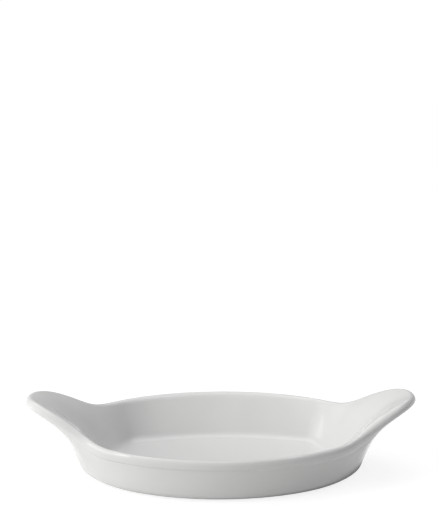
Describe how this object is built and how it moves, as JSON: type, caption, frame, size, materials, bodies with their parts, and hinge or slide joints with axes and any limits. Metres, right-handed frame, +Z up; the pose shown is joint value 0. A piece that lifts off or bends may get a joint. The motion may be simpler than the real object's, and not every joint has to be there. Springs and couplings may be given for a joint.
{
  "type": "oval eared gratin dish",
  "caption": "Shallow oval gratin dish in white glazed porcelain, with a flared wall, a rounded rim and an upswept ear handle at each end.",
  "frame": {"origin": "on the table, under the middle of the dish", "axes": "+X from the left ear to the right ear, +Y away from the viewer of the picture, +Z up"},
  "size_m": [0.2206, 0.122, 0.0436],
  "materials": {
    "biscuit": "matte",
    "glaze": "gloss"
  },
  "bodies": {
    "root": {"dish_body": "biscuit", "left_ear": "biscuit", "right_ear": "biscuit", "glaze_coat": "glaze", "foot_recess_glaze": "glaze"}
  },
  "joints": []
}
